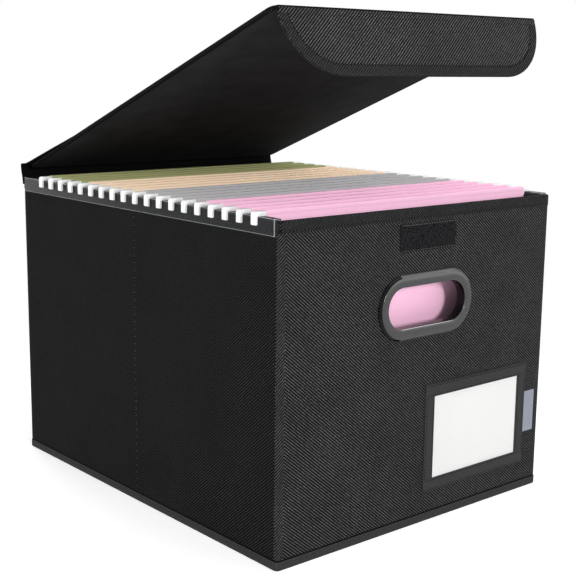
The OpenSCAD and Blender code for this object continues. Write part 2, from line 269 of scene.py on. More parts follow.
def folderPaper(name, tone):  # coloured card: long fibres, faint flecks
    f = Finish(name, {"Specular IOR Level": 0.2})
    place = f.place()
    upright = f.add("ShaderNodeVectorMath", {"operation": "MULTIPLY"}, {0: place, 1: (1, 1, 0.35)})
    fibre = f.noise(upright, paper["fibre"], 4, 0.75)
    cloud = f.noise(place, paper["cloud"], 3)
    height = f.along(place, (0, 0, 1 / mm))
    # painted shade: the paper darkens along both lines, the lower one also being the hem's crease
    under, over = [1 - (height - at).size().step(full, gone)
                   for at, full, gone in (paper["underRod"], paper["overRodShade"])]
    flat = f.blend((fibre * 0.6 + cloud * 0.5).step(0.3, 0.85), shade(tone, paper["dark"]),
                   shade(tone, paper["light"]))
    f.feed("Base Color", f.blend(under.most(over) * paper["crease"], flat,
                                 shade(tone, paper["creaseTone"])))
    f.feed("Roughness", 0.72 + fibre * 0.06)
    f.bump(fibre, paper["bump"], 0.3)
    return f.material


hookTape = {"nap": 1.3, "tuft": 1.1, "dark": (8, 8, 9), "light": (50, 50, 52), "bump": 0.5}


def hookLoop(name):  # dark napped tape
    f = Finish(name, {"Specular IOR Level": 0.04})
    place = f.place()
    pile = f.noise(place, hookTape["nap"], 4, 0.85)
    tuft = f.add("ShaderNodeTexVoronoi", {}, {"Vector": place, "Scale": 1 / (hookTape["tuft"] * mm),
                                              "Randomness": 1.0})
    lift = (pile - tuft * 0.5 + 0.15).step(0.22, 0.8)
    f.feed("Base Color", f.blend(lift, ink(*hookTape["dark"]), ink(*hookTape["light"])))
    f.feed("Roughness", 0.8 + pile * 0.15)
    f.bump(pile - tuft, hookTape["bump"], 0.8)
    return f.material


tagCloth = {"rib": 0.55, "yarn": 0.5, "fuzz": 2.0, "dark": 0.82, "light": 1.12, "bump": 0.1}


def wovenTag(name, tone):
    f = Finish(name, {"Specular IOR Level": 0.25})
    place = f.place()
    ribs = f.ribs(place, (0, 0, 1), tagCloth["rib"])
    yarns = f.ribs(place, (1, 0, 0), tagCloth["yarn"])
    fuzz = f.noise(place, tagCloth["fuzz"], 3, 0.7)
    lift = (ribs * 0.3 + yarns * 0.2 + fuzz * 0.5).step(0.2, 0.8)
    f.feed("Base Color", f.blend(lift, shade(tone, tagCloth["dark"]), shade(tone, tagCloth["light"])))
    f.feed("Roughness", 0.45 + fuzz * 0.2)
    f.bump(ribs + yarns * 0.5, tagCloth["bump"], 0.5)
    return f.material


upward, roundWall, otherWay, acrossLid = (0, 0, 1), (1, 1, 0), (-1, -1, 0), (-1, 0, 0)
yarn, tapeYarn = (0.785, 0.65), (0.7, 0.6)  # one yarn across and up, in mm
# the first colour is the yarn's own black; the lighter ones are painted sheen on the floats
darkYarn, sheenYarn, sideShadeSheen = soot(5), soot(141), soot(85)
frontLap = 6 - halfW  # the left side's cloth laps 6 mm over the front's
cloth = {
    "front": wovenCloth("twillFront", roundWall, upward, yarn, darkYarn, sheenYarn, True, frontLap),
    # the side walls take a darker copy of the sheen: painted shade, as the sides read darker than the front
    "left": wovenCloth("twillLeft", roundWall, upward, yarn, darkYarn, sideShadeSheen, True),
    "right": wovenCloth("twillRight", otherWay, upward, yarn, darkYarn, sideShadeSheen, True),
    "back": wovenCloth("twillBack", otherWay, upward, yarn, darkYarn, sheenYarn, True),
    "lid": wovenCloth("twillLid", acrossLid, lidBack, yarn, darkYarn, sheenYarn),
    # the flap takes a lighter copy of the sheen than the lid its cloth runs on from: painted light
    "flap": wovenCloth("twillFlap", acrossLid, lidUp, yarn, darkYarn, soot(154)),
    # the fold takes a darker copy of the flap's twill: painted shade along the lid's front edge
    "fold": wovenCloth("twillFoldShade", acrossLid, lidUp, yarn, darkYarn, soot(64)),
    "hinge": wovenCloth("twillHinge", acrossLid, (0, 0.5, 1), yarn, darkYarn, sheenYarn),
}
lining = feltLining("feltLining", (40, 40, 41))
boardCover = feltLining("boardCover", (44, 44, 46))
footTape = sewnTape("footTape", roundWall, upward, (44, 44, 45))
lidTape = wovenCloth("lidTape", acrossLid, lidBack, tapeYarn, soot(8), soot(62))
hemCloth = wovenCloth("hemCloth", otherWay, upward, tapeYarn, soot(9), soot(116))
flapTape = wovenCloth("flapTape", acrossLid, lidUp + lidBack * 0.3, tapeYarn, soot(20), soot(109))
ribbonTape = sewnTape("ribbonTape", (1, 0, 0), upward, (46, 46, 47))
# near-black felt used as painted shade in seams, grooves, stitch lines and the hinge's inside
seamShade = feltLining("seamShade", (9, 9, 10))
thread = sewnTape("thread", roundWall, upward, (40, 40, 41))
paleThread = sewnTape("paleThread", roundWall, upward, (84, 84, 85))
gloss = mouldedPlastic("glossBlack", (30, 30, 31), 0.12, 0, level=0.8)
# one gloss black plastic in three copies: the blacker, duller one is painted shade, the lighter satin one
# painted sheen
bevelShadeBlack = mouldedPlastic("bevelShadeBlack", (6, 6, 7), 0.10, 0, level=0.15)
rimSheenSatin = mouldedPlastic("rimSheenSatin", (46, 46, 47), 0.5, 0, level=0.6)
ringBlack = mouldedPlastic("ringBlack", (26, 26, 27), 0.35)
hookWhite = mouldedPlastic("hookWhite", (236, 236, 236), 0.35, 0.03)
railFace = clearPlastic("railFace", (42, 43, 44), 0.78, 0.2)
# a pale copy of the rail's plastic for its edges: painted highlight
railEdgeHighlight = clearPlastic("railEdgeHighlight", (205, 207, 208), 0.72, 0.2)
cardWhite = folderPaper("labelCard", (209, 209, 208))
nap = hookLoop("hookLoopNap")
tagWeave = wovenTag("tagWeave", (126, 132, 143))
folderTones = {"pink": (254, 198, 226), "grey": (186, 184, 186), "peach": (255, 226, 196),
               "olive": (162, 164, 113)}
papers = {tone: folderPaper(tone + "Paper", colour) for tone, colour in folderTones.items()}
print("finishes made:", len(bpy.data.materials))


def block(bm, low, high):  # low and high corners in mm
    low, high = Vector(low) * mm, Vector(high) * mm
    bmesh.ops.create_cube(bm, size=1, matrix=Matrix.Translation((low + high) / 2)
                          @ Matrix.Diagonal((*(high - low), 1)))


def edgesWhere(bm, test):  # edges whose two ends pass, in mm
    return [e for e in bm.edges if all(test(v.co / mm) for v in e.verts)]


def sharpEdges(bm):
    bm.normal_update()
    return [e for e in bm.edges if len(e.link_faces) == 2 and e.calc_face_angle(0) > math.radians(30)]


def roundOff(bm, edges, radius, steps=2, finish=-1):
    bmesh.ops.bevel(bm, geom=edges, offset=radius * mm, offset_type="OFFSET", affect="EDGES",
                    segments=steps, profile=0.5, material=finish, clamp_overlap=True)


def roundCorners(bm, verts, radius, steps):  # radius in the mesh's own unit
    bmesh.ops.bevel(bm, geom=verts, offset=radius, offset_type="OFFSET", affect="VERTICES",
                    segments=steps, profile=0.5, material=-1)


def cutAcross(bm, at, normal, dropOuter=False):
    bmesh.ops.bisect_plane(bm, geom=bm.verts[:] + bm.edges[:] + bm.faces[:], plane_co=at, plane_no=normal,
                           clear_outer=dropOuter)


def onlyVerts(made):
    return [v for v in made if isinstance(v, bmesh.types.BMVert)]


def pull(bm, faces, shift):  # extrude faces by a shift in mm
    made = bmesh.ops.extrude_face_region(bm, geom=faces)["geom"]
    bmesh.ops.translate(bm, verts=onlyVerts(made), vec=Vector(shift) * mm)


def fromNode(name):  # a merged copy of a node's mesh
    bm = bmesh.new()
    bm.from_mesh(nodes[name].data)
    bmesh.ops.remove_doubles(bm, verts=bm.verts, dist=2e-6)
    bmesh.ops.dissolve_limit(bm, angle_limit=math.radians(0.6), verts=bm.verts, edges=bm.edges)
    for face in bm.faces:
        face.material_index = 0
    return bm


def dress(name, finish):  # a node that keeps its own mesh
    nodes[name].data.materials.clear()
    nodes[name].data.materials.append(finish)


def keep(bm, name, finishes, body=None, stands=(), sharp=40):
    bmesh.ops.remove_doubles(bm, verts=bm.verts, dist=1e-6)
    bmesh.ops.recalc_face_normals(bm, faces=bm.faces)
    mesh = bpy.data.meshes.new(name)
    bm.to_mesh(mesh)
    bm.free()
    for finish in finishes:
        mesh.materials.append(finish)
    mesh.shade_smooth()
    mesh.set_sharp_from_angle(angle=math.radians(sharp))
    piece = bpy.data.objects.new(name, mesh)
    scene.collection.objects.link(piece)
    if body:
        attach(piece, body)
    if stands:
        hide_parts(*stands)
    return piece


def stitchRow(bm, points, outward, thick, length=2.6, gap=1.0):
    # low round stitches laid end to end along a line of points, in mm
    points = [Vector(p) for p in points]
    spans = [(a, b, (b - a).length) for a, b in zip(points, points[1:])]
    total = sum(span for a, b, span in spans)
    count = max(1, int(total / (length + gap)))
    pitch = total / count
    out = Vector(outward).normalized()
    for i in range(count):
        at = (i + 0.5) * pitch
        for a, b, span in spans:
            if at <= span:
                break
            at -= span
        run = (b - a).normalized()
        turn = Matrix((run, out.cross(run), out)).transposed().to_4x4()
        where = Matrix.Translation((a + run * at) * mm) @ turn \
            @ Matrix.Diagonal((length / 2 * mm, thick * mm * 0.9, thick * mm * 0.8, 1))
        bmesh.ops.create_icosphere(bm, subdivisions=1, radius=1, matrix=where)


hem = {"deep": 9.2, "proud": 0.35, "stitch": 7.4, "groove": 0.8, "thread": 0.36, "inset": 1.5,
       "topRound": 1.5, "lowRound": 0.3}


def endPanel(side, name, node):
    bm = fromNode(node)
    for face in bm.faces:  # lining inside, cloth outside
        if face.normal.y * side < -0.5:
            face.material_index = 1
    keep(bm, name, [cloth["front" if side < 0 else "back"], lining], "box", [node])

    bm = bmesh.new()  # the turned hem over the top edge
    proud = hem["proud"]
    outer, inner = side * (halfD + proud), side * (halfD - box["wall"] - proud)
    low, top = box["height"] - hem["deep"], box["height"] + proud
    block(bm, (-halfW - proud, min(outer, inner), low), (halfW + proud, max(outer, inner), top))
    upright = [e for e in edgesWhere(bm, lambda c: abs(c.y - outer) < 0.01)
               if abs(e.verts[0].co.z - e.verts[1].co.z) > hem["deep"] / 2 * mm]
    roundOff(bm, upright, box["corner"] + proud, 5)
    roundOff(bm, edgesWhere(bm, lambda c: c.z > top - 0.01), hem["topRound"], 4)
    roundOff(bm, edgesWhere(bm, lambda c: c.z < low + 0.01), hem["lowRound"], 2)
    line, half = box["height"] - hem["stitch"], hem["groove"] / 2
    for z in (line - half, line + half):
        cutAcross(bm, (0, 0, z * mm), (0, 0, 1))
    # painted shade: the flush band round the stitch line takes seam-shade black, standing in for a sewn
    # groove's shade
    for face in bm.faces:
        if abs(face.calc_center_median().z / mm - line) < half and abs(face.normal.z) < 0.5:
            face.material_index = 1
    keep(bm, name + "Hem", [hemCloth, seamShade], "box")

    bm = bmesh.new()
    end = halfW - hem["inset"]
    for y, out in ((outer, side), (inner, -side)):
        stitchRow(bm, [(-end, y, line), (end, y, line)], (0, out, 0), hem["thread"])
    keep(bm, name + "HemStitches", [thread], "box")


endPanel(-1, "frontPanel", "front_wall")
endPanel(1, "backPanel", "back_wall")

fold = {"half": 1.1, "deep": 0.55, "topRound": 0.9, "stitchLow": 10, "stitchTop": 14,
        "stitches": (0.24, 2.2, 4.2)}  # stitches are given by thickness, length and gap


def sidePanel(side, name, stands):
    # one cloth skin over both halves, pressed in along the fold
    bm = bmesh.new()
    xIn, xOut = side * (halfW - box["wall"]), side * halfW
    long = halfD - box["wall"]
    block(bm, (min(xIn, xOut), -long, 0), (max(xIn, xOut), long, box["height"]))
    for y in (-fold["half"], 0, fold["half"]):
        cutAcross(bm, (0, y * mm, 0), (0, 1, 0))
    roundOff(bm, edgesWhere(bm, lambda c: c.z > box["height"] - 0.01), fold["topRound"], 3)
    for v in bm.verts:
        if abs(v.co.y) < 0.01 * mm and abs(v.co.x / mm - xOut) < 0.05:
            v.co.x -= side * fold["deep"] * mm
    bm.normal_update()
    for face in bm.faces:
        if face.normal.x * side < -0.5:
            face.material_index = 1
    keep(bm, name, [cloth["left" if side < 0 else "right"], lining], "box", stands, sharp=15)
    bm = bmesh.new()
    x = side * (halfW - fold["deep"] + 0.1)
    stitchRow(bm, [(x, 0, fold["stitchLow"]), (x, 0, box["height"] - fold["stitchTop"])], (side, 0, 0),
              *fold["stitches"])
    keep(bm, name + "FoldStitches", [paleThread], "box")


sidePanel(-1, "leftPanel", ["left_wall_front", "left_wall_rear"])
sidePanel(1, "rightPanel", ["right_wall_front", "right_wall_rear"])

foot = {"out": 0.6, "under": 1.4, "lowRound": 1.92, "topRound": 0.3, "stitch": 5.2,
        "stitches": (0.26, 2.8)}


def footBinding():
    bm = bmesh.new()
    w, d, r = halfW + foot["out"], halfD + foot["out"], box["corner"] + foot["out"]
    bmesh.ops.create_grid(bm, x_segments=1, y_segments=1, size=1,
                          matrix=Matrix.Diagonal((w * mm, d * mm, 1, 1)))
    roundCorners(bm, bm.verts[:], r * mm, 6)
    middle = bm.faces[:]
    bmesh.ops.inset_region(bm, faces=middle, thickness=(foot["out"] + foot["under"]) * mm,
                           use_even_offset=True, use_boundary=True)
    bmesh.ops.delete(bm, geom=middle, context="FACES")
    pull(bm, bm.faces[:], (0, 0, box["foot"]))
    bmesh.ops.recalc_face_normals(bm, faces=bm.faces)
    roundOff(bm, [e for e in sharpEdges(bm) if all(v.co.z < 1e-6 for v in e.verts)], foot["lowRound"], 4)
    rim = (box["foot"] - 0.01) * mm
    roundOff(bm, [e for e in sharpEdges(bm) if all(v.co.z > rim for v in e.verts)], foot["topRound"], 2)
    keep(bm, "footBinding", [footTape], "box", ["base_binding"])
    bm = bmesh.new()
    z = foot["stitch"]
    for way in (-1, 1):
        stitchRow(bm, [(-w + r, way * d, z), (w - r, way * d, z)], (0, way, 0), *foot["stitches"])
        stitchRow(bm, [(way * w, -d + r, z), (way * w, d - r, z)], (way, 0, 0), *foot["stitches"])
    keep(bm, "footStitches", [thread], "box")


footBinding()
for name in ("base_panel", "base_board"):
    dress(name, boardCover)
print("walls made")

rail = {"air": 0.12, "round": 0.28}


def clearRail(side, name, node):
    bm = fromNode(node)
    outer, inner, top, air = halfW, halfW - box["wall"], box["height"], rail["air"]
    for v in bm.verts:  # a hair of air between the clear plastic and the wall it grips
        x = abs(v.co.x) / mm
        for at, to in ((outer, outer + air), (inner, inner - air)):
            if abs(x - at) < 0.05:
                v.co.x = side * to * mm
        if abs(v.co.z / mm - top) < 0.05:
            v.co.z = (top + air) * mm
    roundOff(bm, sharpEdges(bm), rail["round"], 2, 1)  # painted highlight: the rounded edges take a pale copy of the clear plastic
    keep(bm, name, [railFace, railEdgeHighlight], "box", [node])


clearRail(-1, "leftRail", "left_rail")
clearRail(1, "rightRail", "right_rail")

# inner, sleeve and outer are half heights; edge, thick and long are measured out from the wall
grip = {"straight": 56, "z": 188.5, "inner": 17, "sleeve": 19, "outer": 26.75, "edge": 0.9, "thick": 3,
        "bevel": 2, "lip": 0.6, "long": 6.2, "soften": 0.18, "steps": 28}


def fingerGrip(side, name, node):
    # the rim's cross-section, swept round one end, straight along, round the other end and back
    bm = bmesh.new()
    g, half = grip, grip["straight"] / 2
    profile = [(g["inner"], -g["long"]), (g["sleeve"], -g["long"]), (g["sleeve"], 0), (g["outer"], 0),
               (g["outer"], g["edge"]), (g["outer"] - g["bevel"], g["thick"]),
               (g["inner"] + g["lip"], g["thick"]), (g["inner"], g["thick"] - g["lip"])]
    ring = [bm.verts.new(Vector((half, side * (halfD + h), g["z"] - r)) * mm) for r, h in profile]
    bm.faces.new(ring)
    roundCorners(bm, [v for v, (r, h) in zip(ring, profile) if h > 0.5], g["soften"] * mm, 2)
    bmesh.ops.delete(bm, geom=bm.faces[:], context="FACES_ONLY")
    run = bm.edges[:]
    for way in (-1, 1):
        turned = bmesh.ops.spin(bm, geom=run, cent=Vector((-way * half, 0, g["z"])) * mm, axis=(0, -1, 0),
                                angle=math.pi, steps=g["steps"], use_merge=False)["geom_last"]
        run = [e for e in turned if isinstance(e, bmesh.types.BMEdge)]
        made = bmesh.ops.extrude_edge_only(bm, edges=run)["geom"]
        bmesh.ops.translate(bm, verts=onlyVerts(made), vec=(way * g["straight"] * mm, 0, 0))
        run = [e for e in made if isinstance(e, bmesh.types.BMEdge)]
    bmesh.ops.remove_doubles(bm, verts=bm.verts, dist=5e-6)
    for face in bm.faces:  # painted shade and sheen: the mouth and the bevel's shaded end take a blacker copy, the rest of the bevel a lighter satin copy
        at = face.calc_center_median() / mm
        h = at.y * side - halfD
        r = math.hypot(max(abs(at.x) - half, 0), at.z - g["z"])
        if h < g["thick"] - g["lip"] - 0.1 and (r < g["sleeve"] + 0.5 or at.x * side > half + 2):
            face.material_index = 1
        elif 0 < h < g["thick"] - 0.1 and r > g["sleeve"] + 1:
            face.material_index = 2
    keep(bm, name, [gloss, bevelShadeBlack, rimSheenSatin], "box", [node], sharp=32)


fingerGrip(-1, "frontGrip", "front_handle")
fingerGrip(1, "backGrip", "back_handle")
dress("handle_rings", ringBlack)
print("rails and grips made")

label = {"left": 2.7, "right": 132.7, "low": 26, "high": 119.5, "ribbon": 11, "thick": 1.5, "over": 0.22,
         "frameRound": 0.25, "ribbonRound": 0.15, "outerSeam": 1.5, "innerSeam": 1.4,
         "stitches": (0.34, 2.5, 0.3)}


def labelFrame():
    left, right, low, high, ribbon = (label[k] for k in ("left", "right", "low", "high", "ribbon"))
    face = -(halfD + label["thick"])
    over = face - label["over"]
    bm = fromNode("label_pocket")
    front = (face + 0.01) * mm
    roundOff(bm, [e for e in sharpEdges(bm) if all(v.co.y < front for v in e.verts)], label["frameRound"])
    keep(bm, "labelFrame", [ribbonTape], "box", ["label_pocket"])

    bm = bmesh.new()  # top and bottom ribbons are sewn over the upright ones
    for z0, z1 in ((low + 0.15, low + ribbon), (high - ribbon, high - 0.15)):
        block(bm, (left + 0.2, over, z0), (right - 0.2, face + 0.1, z1))
    roundOff(bm, edgesWhere(bm, lambda c: c.y < over + 0.01), label["ribbonRound"])
    keep(bm, "labelRibbons", [ribbonTape], "box")

    # the stitches are seam-shade black, so each row reads as a dark line: real stitches carrying painted
    # shade along the ribbons
    bm = bmesh.new()
    near, far = label["outerSeam"], ribbon - label["innerSeam"]
    sewn = ((0, -1, 0), *label["stitches"])
    for z in (low + near, low + far, high - near, high - far):
        stitchRow(bm, [(left + near, over - 0.02, z), (right - near, over - 0.02, z)], *sewn)
    for x in (left + near, left + far, right - near, right - far):
        stitchRow(bm, [(x, face - 0.02, low + ribbon), (x, face - 0.02, high - ribbon)], *sewn)
    keep(bm, "labelStitches", [seamShade], "box")


labelFrame()
dress("label_card", cardWhite)

tag = {"in": 131.9, "out": 147, "low": 54, "high": 91.5, "wall": -192.32, "face": -193.2, "cloth": 0.36}


def sideTag():
    # a ribbon folded in two, its ends caught under the frame
    r, middle = (tag["wall"] - tag["face"]) / 2, (tag["wall"] + tag["face"]) / 2
    bend = tag["out"] - r

    def half(radius, way):  # one side of the ribbon, from its end round the bend and back
        turns = [math.pi * k / 8 for k in range(9)]
        line = [(tag["in"], middle + radius)]
        line += [(bend + radius * math.sin(a), middle + radius * math.cos(a)) for a in turns]
        return (line + [(tag["in"], middle - radius)])[::way]

    bm = bmesh.new()
    corners = half(r, 1) + half(r - tag["cloth"], -1)
    face = bm.faces.new([bm.verts.new(Vector((x, y, tag["low"])) * mm) for x, y in corners])
    pull(bm, [face], (0, 0, tag["high"] - tag["low"]))
    keep(bm, "foldedTag", [tagWeave], "box", ["side_tag"])


sideTag()

# edge and nap are shares of a patch's thickness
patch = {"width": 65, "high": 22.5, "z": 244.75, "boxThick": 1.8, "flapThick": 1.7, "gap": 0.3,
         "border": 2.0, "sideBorder": 0.6, "edge": 0.62, "nap": 0.82, "tuft": 0.3, "corner": 0.8,
         "columns": 65, "rows": 22, "seed": 7, "longSeam": (0.32, 2.3, 0.7), "shortSeam": (0.24, 2.0, 0.9)}


def nappedPatch(name, node, body, matrix, thick):
    # matrix takes a patch lying at the origin, nap towards +Z, to its place
    rng = random.Random(patch["seed"])
    bm = bmesh.new()
    w, h = patch["width"] / 2, patch["high"] / 2
    bmesh.ops.create_grid(bm, x_segments=patch["columns"], y_segments=patch["rows"], size=1,
                          matrix=Matrix.Diagonal((w * mm, h * mm, 1, 1)))
    for v in bm.verts:
        x, y = abs(v.co.x) / mm, abs(v.co.y) / mm
        if h - y < patch["border"] or w - x < patch["sideBorder"]:
            v.co.z = thick * patch["edge"] * mm
        else:
            v.co.z = (thick * patch["nap"] + rng.uniform(-patch["tuft"], patch["tuft"])) * mm
        if w - x < 0.01 and h - y < 0.01:
            v.co.x *= (w - patch["corner"]) / w
            v.co.y *= (h - patch["corner"]) / h
    made = bmesh.ops.extrude_edge_only(bm, edges=[e for e in bm.edges if e.is_boundary])["geom"]
    for v in onlyVerts(made):
        v.co.z = 0
    bmesh.ops.contextual_create(bm, geom=[e for e in bm.edges if e.is_boundary])
    bm.transform(matrix)
    keep(bm, name, [nap], body, [node], sharp=80)

    bm = bmesh.new()
    z = thick * patch["edge"] + 0.05
    for y in (-h + 1.0, h - 1.0):
        stitchRow(bm, [(-w + 1, y, z), (w - 1, y, z)], (0, 0, 1), *patch["longSeam"])
    for x in (-w + 0.9, w - 0.9):
        stitchRow(bm, [(x, -h + 1.5, z), (x, h - 1.5, z)], (0, 0, 1), *patch["shortSeam"])
    bm.transform(matrix)
    keep(bm, name + "Stitches", [paleThread], body)


outFront = Matrix.Translation(Vector((0, -halfD, patch["z"])) * mm) @ Matrix.Rotation(math.pi / 2, 4, "X")
nappedPatch("boxNap", "box_patch", "box", outFront, patch["boxThick"])
flapIn = -halfD - patch["boxThick"] - patch["flapThick"] - patch["gap"]
inFlap = lidTurn @ Matrix.Translation(Vector((0, flapIn, patch["z"])) * mm) \
    @ Matrix.Rotation(-math.pi / 2, 4, "X")
nappedPatch("flapNap", "flap_patch", "flap", inFlap, patch["flapThick"])
print("label, tag and patches made")

# the tape bound round the lid and the flap, with a sewn groove beside it
edging = {"band": 8.2, "groove": 0.9, "sink": 0.35, "round": 1.2, "leastCorner": 0.8, "thread": 0.34}
seam = edging["band"] + edging["groove"] / 2


def roundOutline(halfWidth, low, high, lowRound, highRound, lowSteps, cut=None):
    # the corner points of a flat board with round corners, in mm; cut takes off what is above it
    bm = bmesh.new()
    bmesh.ops.create_grid(bm, x_segments=1, y_segments=1, size=1,
                          matrix=Matrix.Translation((0, (low + high) / 2, 0))
                          @ Matrix.Diagonal((halfWidth, (high - low) / 2, 1, 1)))
    roundCorners(bm, [v for v in bm.verts if v.co.y < low + 0.01], lowRound, lowSteps)
    roundCorners(bm, [v for v in bm.verts if v.co.y > high - 0.01], highRound, 8)
    if cut:
        cutAcross(bm, (0, cut, 0), (0, 1, 0), dropOuter=True)
    bm.normal_update()
    face = bm.faces[:][0]
    if face.normal.z < 0:
        face.normal_flip()
    row = [v.co.copy() for v in face.verts]
    start = max(range(len(row)), key=lambda i: row[i].y + row[i].x * 1e-3)
    bm.free()
    return row[start:] + row[:start]


def stackLoops(bm, outline, put, loops):
    # one face pulled up through closed outlines; each is (inset, height, finish of the strip up to it)
    inset, height, finish = loops[0]
    back = top = bm.faces.new([bm.verts.new(Vector(put(p.x, p.y, height)) * mm) for p in outline(inset)])
    back.material_index = finish
    for inset, height, finish in loops[1:]:
        made = bmesh.ops.extrude_face_region(bm, geom=[top])["geom"]
        if top != back:  # the pull leaves its old face inside
            bmesh.ops.delete(bm, geom=[top], context="FACES_ONLY")
        top = next(f for f in made if isinstance(f, bmesh.types.BMFace))
        for v, p in zip(top.verts, outline(inset)):
            v.co = Vector(put(p.x, p.y, height)) * mm
        for strip in {f for e in top.edges for f in e.link_faces if f != top}:
            strip.material_index = finish
    top.material_index = 0


def boundPanel(thick, back):
    # a padded board with a tape round its edge, from the lining to the cloth; back is the tape's width inside
    r, band, groove, sunk = edging["round"], edging["band"], edging["groove"], thick - edging["sink"]
    # finish 3 is seam shade: painted shade in the sunk groove beside the tape, and a painted shade ring where
    # the tape meets the lining
    return [(back, 0.25, 1), (back - 0.6, 0.25, 3), (back - 0.7, 0, 2), (r, 0, 2), (r * 0.3, r * 0.3, 2),
            (0, r, 2), (0, thick - r, 2), (r * 0.3, thick - r * 0.3, 2), (r, thick, 2),
            (band - 0.3, thick, 2), (band, sunk, 2), (band + groove, sunk, 3),
            (band + groove + 0.5, thick - 0.1, 0)]


def lidBoard():
    w, least = lid["width"] / 2, edging["leastCorner"]

    def outline(inset):  # the cloth runs on over the front edge, so that edge is hardly inset
        return roundOutline(w - inset, lid["front"] + min(inset, 1.5), lid["rear"] - inset,
                            max(lid["frontCorner"] - inset, least), max(lid["rearCorner"] - inset, least), 5)

    bm = bmesh.new()
    under = lid["top"] - lid["board"]
    stackLoops(bm, outline, lambda x, y, height: (x, y, under + height),
               boundPanel(lid["board"], lid["tapeInside"]))
    bm.transform(lidTurn)
    keep(bm, "lidBoard", [cloth["lid"], lining, lidTape, seamShade], "lid", ["lid_panel"], sharp=24)
    bm = bmesh.new()
    z, y0, y1 = lid["top"] - 0.2, lid["front"] + 12, lid["rear"] - seam
    stitchRow(bm, [(seam - w, y0, z), (seam - w, y1, z), (w - seam, y1, z), (w - seam, y0, z)], (0, 0, 1),
              edging["thread"])
    bm.transform(lidTurn)
    keep(bm, "lidStitches", [thread], "lid")


flap = {"width": 292, "top": 275.2, "bottom": 226.5, "round": 53, "board": 3.5, "tapeInside": 7}


def lidFlap():
    w, low = flap["width"] / 2, flap["bottom"]
    inner = lid["front"] + flap["board"]

    def outline(inset):  # drawn much taller, so that the cut leaves it a straight top
        return roundOutline(w - inset, low + inset, low + 140, flap["round"] - inset, 1, 20,
                            cut=flap["top"] - min(inset, 1.2))

    bm = bmesh.new()
    stackLoops(bm, outline, lambda x, z, height: (x, inner - height, z),
               boundPanel(flap["board"], flap["tapeInside"]))
    bm.transform(lidTurn)
    keep(bm, "lidFlap", [cloth["flap"], lining, flapTape, seamShade], "flap", ["lid_flap"], sharp=24)
    row = outline(seam)
    top = max(p.y for p in row)
    row = sorted((p for p in row if p.y < top - 0.01), key=lambda p: math.atan2(p.x, low + 400 - p.y))
    bm = bmesh.new()
    stitchRow(bm, [(p.x, lid["front"] + 0.15, p.y) for p in row], (0, -1, 0), edging["thread"])
    bm.transform(lidTurn)
    keep(bm, "flapStitches", [thread], "flap")


lidBoard()
lidFlap()
print("lid and flap made")


def clothStrip(name, line, width, thick, finishes, shape, matrix=None, stands=()):
    # a strip that crosses a joint; line is its middle, in Y and Z, in mm
    bm = bmesh.new()
    verts = [bm.verts.new(Vector((-width / 2, y, z)) * mm) for y, z in line]
    edges = [bm.edges.new(pair) for pair in zip(verts, verts[1:])]
    made = bmesh.ops.extrude_edge_only(bm, edges=edges)["geom"]
    bmesh.ops.translate(bm, verts=onlyVerts(made), vec=(width * mm, 0, 0))
    bmesh.ops.recalc_face_normals(bm, faces=bm.faces)
    bmesh.ops.solidify(bm, geom=bm.faces[:], thickness=thick * mm)
    shape(bm)
    if matrix is not None:
        bm.transform(matrix)
    piece = keep(bm, name, finishes, sharp=60)
    length = sum(math.dist(a, b) for a, b in zip(line, line[1:]))
    length * mm
    if stands:
        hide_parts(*stands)
    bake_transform(piece)


def smoothLine(points, steps):  # rounds a line of points into a curve through its middles
    out = [points[0]]
    for a, b, c in zip(points, points[1:], points[2:]):
        p, q = ((a[0] + b[0]) / 2, (a[1] + b[1]) / 2), ((b[0] + c[0]) / 2, (b[1] + c[1]) / 2)
        for k in range(steps + 1):
            t = k / steps
            out.append(tuple((1 - t) ** 2 * p[i] + 2 * t * (1 - t) * b[i] + t * t * q[i] for i in (0, 1)))
    return out + [points[-1]]


# from the lid's cloth over its front edge to the flap, as (Y, Z) of the closed lid
bend = {"width": 288.5, "thick": 0.4, "top": 277.8, "start": (0, -199, 278.5), "end": (0, -199, 273.5),
        "line": [(-186, 279.7), (-192, 279.7), (-197, 279.75), (-199.6, 279.4), (-199.75, 277.4),
                 (-199.1, 275.7), (-199.5, 274.6), (-199.45, 273.2)]}


def bendShape(bm):
    # painted shade: faces above the bend's top take the darker fold twill, a dark line along the edge
    bm.normal_update()
    for face in bm.faces:
        if face.calc_center_median().z > bend["top"] * mm:
            face.material_index = 1


clothStrip("foldCloth", smoothLine(bend["line"], 5), bend["width"], bend["thick"],
           [cloth["flap"], cloth["fold"]],
           bendShape, lidTurn)

# up the back wall as (Y, Z), round the hinge at some angles, then along the lid as (reach, lift)
hinge = {"width": 311, "thick": 0.9, "start": (0, 197, 274), "end": (0, 193.2, 282.4),
         "wall": [(194.3, 262.5), (194.4, 265), (194.7, 268), (195.6, 271), (196.7, 275), (197.3, 279.6)],
         "roll": 2.35, "angles": (15, 35, 55, 69),
         "lid": [(3, 1.6), (7, 0.2), (14, -0.15), (30, -0.15), (60, -0.2), (92, -0.65)],
         "narrow": 0.038, "narrowFrom": 6, "narrowOver": 80, "lidCloth": 282.5}
lidForward = -lidBack


def lidAt(reach, lift):
    return tuple((hingePoint / mm + lidForward * reach + lidUp * lift)[1:])


def rollAt(angle):
    a = math.radians(angle)
    return lid["hingeY"] + hinge["roll"] * math.cos(a), lid["hingeZ"] + hinge["roll"] * math.sin(a)


